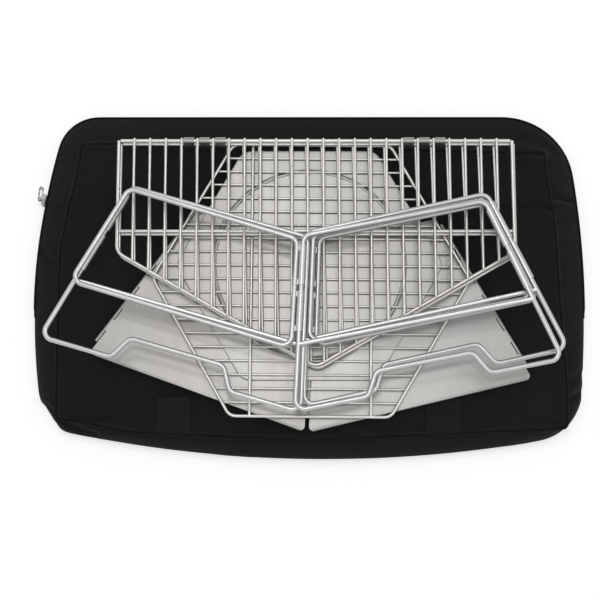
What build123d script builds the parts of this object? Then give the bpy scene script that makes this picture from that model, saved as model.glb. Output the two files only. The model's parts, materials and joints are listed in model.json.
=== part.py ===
from build123d import *
import math
import os

# A folding fire bowl grill, packed flat on its zipped carry bag.
# Millimetres, +Z up, origin at the middle of the bag's underside, +Y to the back of the bag.
# From the bag up: folded bowl wall ring, base plate, ember grate, folded cooking grate, folded stand.

# Running gaps
lie_gap = 0.3
pin_gap = 0.1
side_gap = 0.4

# Carry bag, lying closed. Its outline's points are given by how far they stand in from its sides and ends.
bag_width = 625.0
bag_depth = 394.0
bag_thick = 30.0
bag_top_inset = 20.0
bag_foot_inset = 10.0
back_round_in = 80.0
shoulder_in = 16.7
shoulder_from_back = 49.5
shoulder_mid_in = 42.3
shoulder_mid_from_back = 11.1
widest_from_front = 138.7
side_end_in = 4.5
side_end_from_front = 88.2
toe_in = 11.2
toe_from_front = 55.8
corner_in = 40.5
corner_from_front = 25.8
strap_width = 38.0
strap_length = 40.0
strap_thick = 1.2
strap_left_x = -153.0
strap_right_x = 148.0
strap_from_front = 28.0
zip_height = 6.0
zip_depth = 2.0
zip_z = 15.0
zip_end_from_front = 156.0
slider_length = 14.0
slider_height = 9.0
slider_depth = 4.0
slider_from_back = 98.0
slider_corner = 1.5
bail_reach = 3.2
bail_half = 3.2
bail_rod = 0.9
pull_length = 18.0
pull_width = 5.4
pull_corner = 2.6
pull_thick = 1.4
pull_slot_length = 9.0
pull_slot_width = 2.4
pull_eye_wall = 1.2
pull_lean = 3.0

# Bowl wall: six panels on six hinges, folded two wide
wall_rim = 261.0
wall_slant = 210.0
wall_half_angle = 16.7
wall_sheet = 1.0
wall_corner = 5.0
knuckle_outer = 2.0
wall_pin = 1.0
knuckle_count = 12
knuckle_gap = 0.5
knuckle_foot = 8.0
knuckle_head = 16.0
leaf_overlap = 1.0
wall_x = -4.3
wall_y = -170.0
wall_turn = -3.3

# Base plate
plate_side = 151.5
plate_sheet = 1.2
plate_corner = 7.0
bead_radius = 107.0
bead_width = 6.0
bead_rise = 0.8
plate_x = -0.8
plate_y = 19.0

# Ember grate
ember_side = 178.0
ember_rim = 1.75
ember_wire = 1.25
ember_bend = 13.0
ember_wire_count = 19
ember_bar_x = 67.0
ember_x = 1.0
ember_y = 1.4
ember_turn = -0.5

# Cooking grate: a hexagon in two halves, folded along its middle
grill_side = 256.0
grill_rim = 2.0
grill_wire = 1.5
grill_bend = 14.0
grill_wire_count = 24
grill_bar_y = -104.0
grill_x = 6.0
grill_y = 157.2
grill_rim_rise = 5.0
grill_shift_x = 1.8
grill_shift_y = -2.4
lower_wire_start = -3.8
lower_wire_lean = 1.3
clip_sheet = 0.7
clip_tail = 1.6
clip_place = 5.5
clip_bands = 3
clip_band_gap = 0.8

# Stand: three tall leg frames and three short link frames, folded two wide
stand_rod = 2.75
stand_bend = 10.0
stand_narrow = 202.7
link_narrow = 193.6
stand_slant = 192.1
stand_half_angle = 13.8
link_depth = 116.5
foot_length = 80.0
foot_ramp = 14.0
foot_rise = 25.3
sleeve_outer = 4.0
sleeve_length = 44.0
sleeve_space = 7.0
sleeve_start = 11.0
weld_radius = 1.6
weld_length = 6.0
stand_x = -4.2
stand_y = 38.4
stand_turn = -2.3
# Each frame's place in the folded stack: shift across and along the fan, turn, level in the stack
frame_places = {
    "link_frame_a": (13.6, 6.2, 0.3, 0),
    "leg_frame_a": (0.8, 11.6, 0.9, 1),
    "link_frame_b": (7.0, 7.2, 0.0, 2),
    "leg_frame_b": (-3.3, 2.8, -0.5, 3),
    "link_frame_c": (-9.9, 0.8, -0.9, 3),
    "leg_frame_c": (1.2, 3.2, -0.1, 2),
}


def fan_point(reach, angle):
    """A point at a distance from the apex that the folded side rails meet at."""
    turn = math.radians(angle)
    return (reach * math.sin(turn), -reach * math.cos(turn))


def placed(shape, x, y, z, turn):
    return Location((x, y, z), (0, 0, turn)) * shape


def round_rod(points, bend, radius, closed=True):
    """A round rod along flat points: straight runs joined by tangent bends."""
    path = FilletPolyline(*[(p[0], p[1], 0) for p in points], radius=bend, close=closed)
    start = path @ 0
    way = path % 0
    section = Plane(origin=start, z_dir=way) * Circle(radius)
    return sweep(section, path=path)


def straight_rod(start, end, radius):
    """A round bar between two points in space."""
    a = Vector(*start)
    b = Vector(*end)
    face = Plane(origin=a, z_dir=(b - a).normalized()) * Circle(radius)
    return extrude(face, amount=(b - a).length)


def tube_between(start, end, outer, inner):
    """A tube between two points in space."""
    a = Vector(*start)
    b = Vector(*end)
    ring = Circle(outer) - Circle(inner)
    return extrude(Plane(origin=a, z_dir=(b - a).normalized()) * ring, amount=(b - a).length)


def hexagon_points(side, first_angle):
    return [fan_point(side, first_angle + 60 * i) for i in range(6)]


def save(node, solids):
    """One file for one node: a single solid, or a group of like solids."""
    shape = solids[0] if len(solids) == 1 else Compound(children=solids)
    shape.label = node
    export_step(shape, os.path.join("parts", node + ".step"))


# Heights of the layers, from the bag up
wall_pitch = 2 * knuckle_outer - wall_sheet
wall_level = [bag_thick + lie_gap + knuckle_outer + i * wall_pitch for i in range(4)]
plate_bottom = wall_level[3] + knuckle_outer + lie_gap
ember_bottom = plate_bottom + plate_sheet + bead_rise + lie_gap
ember_rim_z = ember_bottom + 2 * ember_wire + ember_rim
grill_bottom = ember_rim_z + ember_rim + lie_gap
lower_rim_z = grill_bottom + 2 * grill_wire + grill_rim
upper_rim_z = lower_rim_z + grill_rim_rise
stand_bottom = upper_rim_z + grill_rim + 2 * grill_wire + lie_gap
stand_pitch = sleeve_outer + stand_rod
stand_level = [stand_bottom + sleeve_outer + i * stand_pitch for i in range(4)]


bag_back = bag_depth / 2
bag_front = -bag_depth / 2
bag_side = bag_width / 2
slider_y = bag_back - slider_from_back


def bag_outline(inset):
    """The bag's outline from above, drawn in by an inset. The zip stands out from it by its depth."""
    side_in = inset + zip_depth
    back = bag_back - side_in
    flat = bag_side - back_round_in - side_in / 2
    shoulder = (bag_side - shoulder_in - side_in, bag_back - shoulder_from_back - side_in / 2)
    bend = (bag_side - shoulder_mid_in - side_in, bag_back - shoulder_mid_from_back - side_in)
    side = (bag_side - side_in, bag_front + widest_from_front)
    side_end = (bag_side - side_end_in - side_in, bag_front + side_end_from_front + inset / 2)
    toe = (bag_side - toe_in - side_in, bag_front + toe_from_front + inset)
    corner = (bag_side - corner_in - side_in, bag_front + corner_from_front + inset)
    front = (0, bag_front + inset)
    right = [
        Line((-flat, back), (flat, back)),
        ThreePointArc((flat, back), bend, shoulder),
        ThreePointArc(shoulder, side, side_end),
        ThreePointArc(side_end, toe, corner),
    ]
    bow = ThreePointArc(corner, front, (-corner[0], corner[1]))
    left = [edge.mirror(Plane.YZ) for edge in right[1:]]
    return make_face(right + [bow] + left)


def make_bag():
    """The bag body: a low soft box with an upright band at its zip, drawn in at its two panels."""
    waist = bag_outline(0)
    low_z = zip_z - zip_height / 2
    high_z = zip_z + zip_height / 2
    lower = loft([bag_outline(bag_foot_inset), Pos(0, 0, low_z) * waist], ruled=True)
    band = extrude(Pos(0, 0, low_z) * waist, amount=zip_height)
    upper = loft([Pos(0, 0, high_z) * waist, Pos(0, 0, bag_thick) * bag_outline(bag_top_inset)], ruled=True)
    return lower + band + upper


def make_zip():
    """The zip's strip: it follows the band along both sides and the back."""
    strip = bag_outline(-zip_depth) - bag_outline(0)
    zip_end = bag_front + zip_end_from_front
    keep = Pos(0, zip_end + bag_depth) * Rectangle(2 * bag_width, 2 * bag_depth)
    return extrude(Pos(0, 0, zip_z - zip_height / 2) * (strip & keep), amount=zip_height)


def side_place(y):
    """Where the zip's face is on the bag's left side at a given y, and how far it turns from -X."""
    arc = ThreePointArc((bag_side - shoulder_in, bag_back - shoulder_from_back),
                        (bag_side, bag_front + widest_from_front),
                        (bag_side - side_end_in, bag_front + side_end_from_front))
    centre = arc.arc_center
    rise = y - centre.Y
    x = centre.X + math.sqrt(arc.radius ** 2 - rise ** 2)
    return -x, -math.degrees(math.asin(rise / arc.radius))


def make_slider():
    """The zip slider: a small block with an upright bail bar off its outer face."""
    block = Box(slider_depth, slider_length, slider_height)
    block = fillet(block.edges().filter_by(Axis.Z), radius=slider_corner)
    face_x = -slider_depth / 2
    bar_x = face_x - bail_reach
    shape = block + straight_rod((bar_x, 0, -bail_half - bail_rod), (bar_x, 0, bail_half + bail_rod), bail_rod)
    for z in (-bail_half, bail_half):
        shape = shape + straight_rod((face_x + bail_rod, 0, z), (bar_x, 0, z), bail_rod)
    return shape


def make_pull():
    """The pull tab: a flat loop with an eye round the bail's upright bar, from which it points back."""
    eye_radius = bail_rod + pin_gap
    eye_in = eye_radius + pull_eye_wall
    loop = RectangleRounded(pull_width, pull_length, pull_corner)
    slot = Pos(0, pull_slot_length / 2 - pull_length / 2 + 2 * eye_in + pull_slot_width / 2) * Rot(0, 0, 90)
    face = loop - slot * SlotOverall(pull_slot_length, pull_slot_width)
    face = face - Pos(0, eye_in - pull_length / 2) * Circle(eye_radius)
    tab = extrude(Pos(0, pull_length / 2 - eye_in, -pull_thick / 2) * face, amount=pull_thick)
    return Location((-slider_depth / 2 - bail_reach, 0, 0), (0, 0, pull_lean)) * tab


def make_webbing(x):
    """A short webbing end that lies on the front of the bag's upper panel."""
    y = bag_front + strap_from_front + strap_length / 2
    return Pos(x, y, bag_thick + lie_gap + strap_thick / 2) * Box(strap_width, strap_length, strap_thick)


wall_narrow = wall_rim - 2 * wall_slant * math.sin(math.radians(wall_half_angle))
wall_apex = wall_narrow / 2 / math.sin(math.radians(wall_half_angle))
wall_reach = wall_apex + wall_slant
wall_edge_inset = knuckle_outer + side_gap


def edge_frame(angle, rise):
    """A frame on a slanted edge: its Z runs from the narrow end to the rim, its X points outward."""
    start = fan_point(wall_apex, angle)
    way = fan_point(1.0, angle)
    turn = math.radians(angle)
    outward = (math.cos(turn), math.sin(turn), 0)
    return Plane(origin=(start[0], start[1], rise), x_dir=outward, z_dir=(way[0], way[1], 0))


def knuckles(angle, rise, parity, inward):
    """The rolled knuckles along one slanted edge, every second place."""
    plane = edge_frame(angle, rise)
    run = wall_slant - knuckle_foot - knuckle_head
    step = run / knuckle_count
    width = step - knuckle_gap
    # The frame's Y is across the sheet; the sheet lies at -rise from the axis.
    across = plane.y_dir.Z
    made = []
    for i in range(parity, knuckle_count, 2):
        low = knuckle_foot + i * step
        roll = extrude(plane.offset(low) * Circle(knuckle_outer), amount=width)
        tongue_mid = inward * (wall_edge_inset + leaf_overlap) / 2
        tongue = Rectangle(wall_edge_inset + leaf_overlap, wall_sheet)
        leaf = extrude(plane.offset(low) * Pos(tongue_mid, -rise * across) * tongue, amount=width)
        made.append(roll + leaf)
    return made


def wall_panel(side, centre_edge, outer_edge):
    """One bowl panel: a trapezoid sheet with rolled knuckles. side is 1 right or -1 left."""
    outer_angle = side * 2 * wall_half_angle
    narrow = [fan_point(wall_apex, 0), fan_point(wall_apex, outer_angle)]
    rim = [fan_point(wall_reach, outer_angle), fan_point(wall_reach, 0)]
    # Both slanted edges stand back from their hinge axes by the same amount.
    half_turn = math.radians(wall_half_angle)
    back = wall_edge_inset / math.cos(half_turn)
    along = (narrow[1][0] - narrow[0][0], narrow[1][1] - narrow[0][1])
    unit = (along[0] / wall_narrow, along[1] / wall_narrow)
    points = [
        (narrow[0][0] + unit[0] * back, narrow[0][1] + unit[1] * back),
        (narrow[1][0] - unit[0] * back, narrow[1][1] - unit[1] * back),
        (rim[0][0] - unit[0] * back, rim[0][1] - unit[1] * back),
        (rim[1][0] + unit[0] * back, rim[1][1] + unit[1] * back),
    ]
    face = make_face(Polyline(*points, close=True))
    face = fillet(face.vertices(), radius=wall_corner)
    sheet = extrude(Pos(0, 0, -wall_sheet / 2) * face, amount=wall_sheet)
    for edge, angle, inward in ((centre_edge, 0, side), (outer_edge, outer_angle, -side)):
        if edge is None:
            continue
        rise, parity = edge
        for piece in knuckles(angle, rise, parity, inward):
            sheet = sheet + piece
        bore = extrude(edge_frame(angle, rise) * Circle(wall_pin + pin_gap), amount=wall_slant)
        sheet = sheet - bore
    return sheet


def wall_pin_rod(angle, rise):
    """A hinge pin along one slanted edge."""
    plane = edge_frame(angle, rise)
    run = wall_slant - knuckle_foot - knuckle_head
    return extrude(plane.offset(knuckle_foot) * Circle(wall_pin), amount=run - knuckle_gap)


def on_wall(shape, z):
    """From the ring's fan frame to its place on the bag: the fan's origin is its apex."""
    turn = math.radians(wall_turn)
    apex_x = wall_x - wall_reach * math.sin(turn)
    apex_y = wall_y + wall_reach * math.cos(turn)
    return placed(shape, apex_x, apex_y, z, wall_turn)


def make_wall():
    half = wall_pitch / 2
    outer = 2 * wall_half_angle
    panels = {
        "wall_panel_a": (0, wall_panel(1, (0.0, 0), (half, 0))),
        "wall_panel_b": (1, wall_panel(1, (half, 0), (-half, 1))),
        "wall_panel_c": (2, wall_panel(1, (-half, 1), (half, 0))),
        "wall_panel_d": (3, wall_panel(1, (0.0, 0), (-half, 1))),
        "wall_panel_e": (3, wall_panel(-1, (0.0, 1), (-half, 0))),
        "wall_panel_f": (2, wall_panel(-1, None, (half, 1))),
    }
    for node, (level, panel) in panels.items():
        save(node, [on_wall(panel, wall_level[level])])
    pins = {
        "wall_pin_ab": (outer, wall_level[0] + half),
        "wall_pin_bc": (0, wall_level[1] + half),
        "wall_pin_cd": (outer, wall_level[2] + half),
        "wall_pin_de": (0, wall_level[3]),
        "wall_pin_ef": (-outer, wall_level[2] + half),
        "wall_pin_fa": (0, wall_level[0]),
    }
    for node, (angle, z) in pins.items():
        save(node, [on_wall(wall_pin_rod(angle, 0), z)])


def make_plate():
    """The base plate: a flat hexagon with a pressed ring bead."""
    face = make_face(Polyline(*hexagon_points(plate_side, 30), close=True))
    face = fillet(face.vertices(), radius=plate_corner)
    sheet = extrude(face, amount=plate_sheet)
    ring = Circle(bead_radius + bead_width / 2) - Circle(bead_radius - bead_width / 2)
    hollow_width = bead_width - 2 * plate_sheet
    hollow = Circle(bead_radius + hollow_width / 2) - Circle(bead_radius - hollow_width / 2)
    raised = extrude(Pos(0, 0, plate_sheet) * ring, amount=bead_rise)
    sunk = extrude(hollow, amount=bead_rise)
    return sheet + raised - sunk


def flat_hexagon_half_width(side, y):
    """Half the width of a hexagon with points left and right, at a height above its middle."""
    return side - abs(y) / math.sqrt(3)


def make_ember():
    """The ember grate: a bent rim, two support bars in its plane, and wires welded under both."""
    corners = [fan_point(ember_side, 90 + 60 * i) for i in range(6)]
    rim = round_rod(corners, ember_bend, ember_rim)
    half_height = ember_side * math.sqrt(3) / 2
    bars = [straight_rod((s * ember_bar_x, -half_height, 0), (s * ember_bar_x, half_height, 0), ember_rim) - rim
            for s in (-1, 1)]
    pitch = 2 * half_height / (ember_wire_count + 1)
    wires = []
    for i in range(ember_wire_count):
        y = -half_height + (i + 1) * pitch
        reach = flat_hexagon_half_width(ember_side, y) - ember_rim / 2
        wires.append(straight_rod((-reach, y, -ember_rim - ember_wire), (reach, y, -ember_rim - ember_wire),
                                  ember_wire))
    return rim, bars, wires


grill_half_width = grill_side * math.sqrt(3) / 2
grill_pitch = 2 * grill_half_width / (grill_wire_count + 1)


def grill_half(flip, wire_start, wire_lean):
    """Half of the cooking grate in its own frame: hinge bar on X, point towards -Y.
    flip is 1 with the wires on top, or -1 with the wires below, which start and lean to one side."""
    half = grill_half_width
    knee = -grill_side / 2
    tip = -grill_side
    rim = round_rod([(-half, 0), (-half, knee), (0, tip), (half, knee), (half, 0)],
                    [grill_bend] * 3, grill_rim, closed=False)
    bars = [straight_rod((-half + grill_rim, y, 0), (half - grill_rim, y, 0), grill_rim)
            for y in (0, grill_bar_y)]
    wires = []
    z = flip * (grill_rim + grill_wire)
    for i in range(grill_wire_count):
        x = -half + (i + 1) * grill_pitch
        drift = math.tan(math.radians(wire_lean))
        end = tip + abs(x) / half * (knee - tip)
        far = x + wire_start + (grill_rim - end) * drift
        far = max(-half, min(half, far))
        end = tip + abs(far) / half * (knee - tip)
        wires.append(straight_rod((x + wire_start, grill_rim, z), (far, end, z), grill_wire))
    return rim, bars, wires


def clip_band(width, drop, back):
    """A sheet band round both hinge bars. drop and back lead from the upper bar to the lower one."""
    inner_radius = grill_rim + pin_gap
    outer_radius = inner_radius + clip_sheet
    places = [(0, 0), (-back, -drop), (clip_tail, -clip_tail / 2)]

    def round_hull(radius):
        dots = [Pos(p[0], p[1]) * Circle(radius) for p in places]
        return make_hull(Sketch(children=dots).edges())

    ring = round_hull(outer_radius) - round_hull(inner_radius)
    side = Plane(origin=(-width / 2, 0, 0), x_dir=(0, 1, 0), z_dir=(1, 0, 0))
    return extrude(side * ring, amount=width)


def make_clip(mid):
    """One hinge clip: bands side by side, each between two wires of both halves."""
    offset = grill_shift_x + lower_wire_start
    width = grill_pitch - 2 * grill_wire - abs(offset) - clip_band_gap
    bands = []
    for i in range(clip_bands):
        place = mid + i - (clip_bands - 1) / 2
        x = -grill_half_width + place * grill_pitch + offset / 2
        bands.append(Pos(x, 0, 0) * clip_band(width, grill_rim_rise, -grill_shift_y))
    return bands


stand_lean = math.radians(stand_half_angle)
stand_apex = stand_narrow / 2 / math.sin(stand_lean)
link_apex = link_narrow / 2 / math.sin(stand_lean)
stand_ground = stand_narrow + 2 * stand_slant * math.sin(stand_lean)
low_bar_reach = link_depth / math.cos(stand_lean)


def leg_frame(side):
    """A tall frame: one closed bent rod whose ground bar rises between its two feet, and a low bar."""
    outer = side * 2 * stand_half_angle
    inner_foot = fan_point(stand_apex + stand_slant, 0)
    outer_foot = fan_point(stand_apex + stand_slant, outer)
    along = ((outer_foot[0] - inner_foot[0]) / stand_ground, (outer_foot[1] - inner_foot[1]) / stand_ground)
    up = fan_point(-1.0, side * stand_half_angle)

    def ground(distance, rise):
        return (inner_foot[0] + along[0] * distance + up[0] * rise,
                inner_foot[1] + along[1] * distance + up[1] * rise)

    near = foot_length
    far = stand_ground - foot_length
    loop = [fan_point(stand_apex, 0), inner_foot, ground(near, 0), ground(near + foot_ramp, foot_rise),
            ground(far - foot_ramp, foot_rise), ground(far, 0), outer_foot, fan_point(stand_apex, outer)]
    ends = [fan_point(stand_apex + low_bar_reach, angle) + (0,) for angle in (0, outer)]
    return round_rod(loop, stand_bend, stand_rod) + straight_rod(ends[0], ends[1], stand_rod)


def link_frame(side):
    """A short frame: one closed bent rod."""
    outer = side * 2 * stand_half_angle
    low = link_apex + low_bar_reach
    corners = [fan_point(link_apex, 0), fan_point(low, 0), fan_point(low, outer), fan_point(link_apex, outer)]
    return round_rod(corners, stand_bend, stand_rod)


def frame_location(node):
    """From a frame's own fan to the stand's: turned about the middle of its narrow bar, then shifted."""
    x, y, turn, level = frame_places[node]
    side = -1 if node.endswith("_c") else 1
    apex = stand_apex if node.startswith("leg") else link_apex
    inner = fan_point(apex, 0)
    outer = fan_point(apex, side * 2 * stand_half_angle)
    mid = Pos((inner[0] + outer[0]) / 2, (inner[1] + outer[1]) / 2)
    shift = Pos(x, y + apex - stand_apex, stand_level[level])
    return shift * mid * Rot(0, 0, turn) * mid.inverse()


def rail_line(node, edge):
    """The start and direction of a frame's slanted rail in the stand's fan. edge is 0 inside or 1 outside."""
    side = -1 if node.endswith("_c") else 1
    apex = stand_apex if node.startswith("leg") else link_apex
    angle = edge * side * 2 * stand_half_angle
    start, end = [(frame_location(node) * Pos(*fan_point(reach, angle))).position for reach in (apex, apex + 1)]
    return start, end - start


def sleeves_along(leg_line, link_line):
    """Two sleeves on a rail, each joined by two weld beads to the link frame's rail beside or under it."""
    start, way = leg_line
    made = []
    for i in range(2):
        low = sleeve_start + i * (sleeve_length + sleeve_space)
        high = low + sleeve_length
        ends = [start + way * low, start + way * high]
        tube = tube_between(ends[0], ends[1], sleeve_outer, stand_rod + pin_gap)
        around = tube_between(ends[0], ends[1], sleeve_outer + weld_radius * 3, stand_rod + pin_gap)
        for reach in (low, high - weld_length):
            spot = start + way * reach
            # The nearest point of the link frame's rail, and the middle of the gap towards it
            along = (spot - link_line[0]).dot(link_line[1])
            across = link_line[0] + link_line[1] * along - spot
            bead = spot + across * ((sleeve_outer + across.length - stand_rod) / 2 / across.length)
            tube = tube + (straight_rod(bead, bead + way * weld_length, weld_radius) & around)
        made.append(tube)
    return made


def on_stand(shape):
    """From the stand's fan frame to its place on the pile: the fan's origin is its apex."""
    turn = math.radians(stand_turn)
    apex_x = stand_x - stand_apex * math.sin(turn)
    apex_y = stand_y + stand_apex * math.cos(turn)
    return placed(shape, apex_x, apex_y, 0, stand_turn)


def make_stand():
    made = {}
    for node in frame_places:
        side = -1 if node.endswith("_c") else 1
        frame = leg_frame(side) if node.startswith("leg") else link_frame(side)
        made[node] = frame_location(node) * frame
        save(node, [on_stand(made[node])])
    link_inner = rail_line("link_frame_a", 0)
    free_rail = (link_inner[0] - Vector(stand_pitch, 0, 0), link_inner[1])
    hinges = {
        "a": ((rail_line("leg_frame_a", 1), rail_line("link_frame_a", 1)), (free_rail, link_inner)),
        "b": ((rail_line("leg_frame_b", 1), rail_line("link_frame_b", 1)),
              (rail_line("leg_frame_a", 0), rail_line("link_frame_b", 0))),
        "c": ((rail_line("leg_frame_b", 0), rail_line("link_frame_c", 0)),
              (rail_line("leg_frame_c", 1), rail_line("link_frame_c", 1))),
    }
    for letter, pairs in hinges.items():
        link = made["link_frame_" + letter]
        tubes = [tube - link for pair in pairs for tube in sleeves_along(*pair)]
        save("hinge_sleeves_" + letter, [on_stand(tube) for tube in tubes])


os.makedirs("parts", exist_ok=True)

save("bag_body", [make_bag()])
save("zip_chain", [make_zip()])
save("webbing_left", [make_webbing(strap_left_x)])
save("webbing_right", [make_webbing(strap_right_x)])

make_wall()
save("base_plate", [placed(make_plate(), plate_x, plate_y, plate_bottom, 0)])

ember_pieces = make_ember()
for node, solids in zip(("ember_rim", "ember_bars", "ember_wires"), ember_pieces):
    group = solids if isinstance(solids, list) else [solids]
    save(node, [placed(s, ember_x, ember_y, ember_rim_z, ember_turn) for s in group])

upper_place = (grill_x, grill_y, upper_rim_z)
lower_place = (grill_x + grill_shift_x, grill_y + grill_shift_y, lower_rim_z)
for name, place, half in (("upper", upper_place, grill_half(1, 0, 0)),
                          ("lower", lower_place, grill_half(-1, lower_wire_start, lower_wire_lean))):
    for node, solids in zip(("rim", "bars", "wires"), half):
        group = solids if isinstance(solids, list) else [solids]
        save("grill_" + name + "_" + node, [Pos(*place) * s for s in group])

for name, mid in (("left", clip_place), ("right", grill_wire_count + 1 - clip_place)):
    save("grill_clip_" + name, [Pos(*upper_place) * band for band in make_clip(mid)])

side_x, side_turn = side_place(slider_y)
slider_place = Location((side_x, slider_y, zip_z), (0, 0, side_turn)) * Pos(-slider_depth / 2 - side_gap)
save("zip_slider", [slider_place * make_slider()])
save("zip_pull", [slider_place * make_pull()])

make_stand()
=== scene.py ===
"""A folding fire bowl grill, packed flat on its zipped carry bag."""
import json
import math

import bmesh
import bpy
from mathutils import Matrix, Vector, noise
from mathutils.bvhtree import BVHTree


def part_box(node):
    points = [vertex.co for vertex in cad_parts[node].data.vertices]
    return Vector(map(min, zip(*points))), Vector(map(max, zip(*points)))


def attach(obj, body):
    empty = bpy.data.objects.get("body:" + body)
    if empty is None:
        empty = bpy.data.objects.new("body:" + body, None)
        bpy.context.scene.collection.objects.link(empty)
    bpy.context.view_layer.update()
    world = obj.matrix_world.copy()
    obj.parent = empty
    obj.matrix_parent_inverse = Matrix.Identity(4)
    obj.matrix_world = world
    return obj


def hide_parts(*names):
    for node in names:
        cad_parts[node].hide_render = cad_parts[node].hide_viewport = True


bl_info = {
    "name": "Packed Fire Bowl Grill",
    "version": (1, 0, 0),
    "blender": (4, 5, 0),
    "location": "3D View > Sidebar > Fire Bowl",
    "description": "Dresses a folded stainless fire bowl grill and its soft carry bag",
    "category": "Object",
}

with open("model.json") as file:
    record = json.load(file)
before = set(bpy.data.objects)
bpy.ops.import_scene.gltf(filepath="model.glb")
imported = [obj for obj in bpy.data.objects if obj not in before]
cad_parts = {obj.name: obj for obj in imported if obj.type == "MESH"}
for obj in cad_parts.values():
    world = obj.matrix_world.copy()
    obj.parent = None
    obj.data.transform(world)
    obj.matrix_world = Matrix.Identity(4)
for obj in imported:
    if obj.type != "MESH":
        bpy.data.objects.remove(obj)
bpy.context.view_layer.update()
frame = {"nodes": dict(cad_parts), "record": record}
BAG_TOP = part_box("bag_body")[1][2]
SLIDER_LOW, SLIDER_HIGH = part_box("zip_slider")
SLOTS = {piece["node"]: piece["material_slot"] for piece in frame["record"]["subparts"]}
STEEL_SLOTS = ("grate_steel", "stand_steel", "sheet_steel")
# What the sheet's warmer clouds keep of red, green and blue.
WARM_TINT = (0.97, 0.95, 0.92)


def mm(value):
    return value / 1000


class NodeSheet:
    """A short way to write one material's node tree."""

    def __init__(self, name):
        self.material = bpy.data.materials.new(name)
        self.material.use_nodes = True
        self.tree = self.material.node_tree
        self.tree.nodes.clear()
        self.out = self.tree.nodes.new("ShaderNodeOutputMaterial")

    def add(self, kind, **settings):
        node = self.tree.nodes.new(kind)
        for key, value in settings.items():
            setattr(node, key, value)
        return node

    def link(self, source, target):
        self.tree.links.new(source, target)

    def coordinates(self, name):
        return self.add("ShaderNodeTexCoord").outputs[name]

    def stretched(self, source, scale, turn=0.0):
        mapping = self.add("ShaderNodeMapping")
        mapping.inputs["Scale"].default_value = scale
        mapping.inputs["Rotation"].default_value = (0, 0, turn)
        self.link(source, mapping.inputs["Vector"])
        return mapping.outputs["Vector"]

    def noise(self, source, scale, detail=3.0, roughness=0.5):
        node = self.add("ShaderNodeTexNoise")
        node.inputs["Scale"].default_value = scale
        node.inputs["Detail"].default_value = detail
        node.inputs["Roughness"].default_value = roughness
        self.link(source, node.inputs["Vector"])
        return node.outputs["Fac"]

    def remap(self, source, low, high, from_low=0.0, from_high=1.0):
        node = self.add("ShaderNodeMapRange")
        limits = {"From Min": from_low, "From Max": from_high, "To Min": low, "To Max": high}
        for socket, value in limits.items():
            node.inputs[socket].default_value = value
        self.link(source, node.inputs["Value"])
        return node.outputs["Result"]

    def contrast(self, source, low, high):
        """Spreads what lies between two values over 0 to 1."""
        return self.remap(source, 0, 1, from_low=low, from_high=high)

    def mix(self, factor, first, second):
        """Two colours, each a tuple or a node's output, mixed by a factor."""
        node = self.add("ShaderNodeMix", data_type="RGBA")
        self.link(factor, node.inputs["Factor"])
        for name, colour in (("A", first), ("B", second)):
            # A colour mix keeps its colour sockets after its number and vector ones.
            socket = [s for s in node.inputs if s.name == name and s.type == "RGBA"][0]
            if isinstance(colour, tuple):
                socket.default_value = (*colour, 1)
            else:
                self.link(colour, socket)
        return [s for s in node.outputs if s.type == "RGBA"][0]

    def maths(self, operation, *values):
        node = self.add("ShaderNodeMath", operation=operation)
        for i, value in enumerate(values):
            if isinstance(value, (int, float)):
                node.inputs[i].default_value = value
            else:
                self.link(value, node.inputs[i])
        return node.outputs[0]

    def weave(self, source, pitch):
        """A plain weave on a flat map in metres: threads over and under by turns."""
        split = self.add("ShaderNodeSeparateXYZ")
        self.link(source, split.inputs[0])
        waves = []
        for flat_way in split.outputs[:2]:
            waves.append(self.maths("SINE", self.maths("MULTIPLY", flat_way, math.pi / pitch)))
        return self.maths("MULTIPLY", *waves)

    def bump(self, height, distance, strength=1.0, under=None):
        node = self.add("ShaderNodeBump")
        node.inputs["Distance"].default_value = distance
        node.inputs["Strength"].default_value = strength
        self.link(height, node.inputs["Height"])
        if under:
            self.link(under, node.inputs["Normal"])
        return node.outputs["Normal"]

    def surface(self, **sockets):
        """The main shader. A socket takes a number, a colour or a node's output."""
        shader = self.add("ShaderNodeBsdfPrincipled")
        for name, value in sockets.items():
            socket = shader.inputs[name.replace("_", " ")]
            if isinstance(value, bpy.types.NodeSocket):
                self.link(value, socket)
            elif isinstance(value, tuple):
                socket.default_value = (*value, 1)
            else:
                socket.default_value = value
        self.link(shader.outputs[0], self.out.inputs["Surface"])
        return self.material


def shade(colour, amount):
    """A lighter or darker tone of a colour."""
    return tuple(channel * amount for channel in colour)


def sheet_steel_material(name, colour, roughness, grain_turn):
    """Satin rolled sheet: fine grain along the roll, faint clouding, a few handling marks."""
    sheet = NodeSheet(name)
    place = sheet.coordinates("Object")
    cloud = sheet.noise(place, scale=9.0)
    rolled = sheet.stretched(place, scale=(900, 12, 900), turn=grain_turn)
    grain = sheet.noise(rolled, scale=1.0, detail=4.0, roughness=0.6)
    wiped = sheet.stretched(place, scale=(60, 22, 60), turn=1.1)
    smear = sheet.noise(wiped, scale=1.0)
    warm = tuple(channel * tint for channel, tint in zip(colour, WARM_TINT))
    base = sheet.mix(sheet.contrast(cloud, 0.35, 0.65), warm, colour)
    rough = sheet.maths("ADD", sheet.remap(grain, -0.04, 0.04),
                        sheet.remap(smear, roughness - 0.03, roughness + 0.05))
    buckled = sheet.bump(cloud, distance=mm(1.6), strength=0.5)
    grained = sheet.bump(grain, distance=mm(0.02), strength=0.4, under=buckled)
    return sheet.surface(Base_Color=base, Metallic=1.0, Roughness=rough, Normal=grained)


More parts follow.
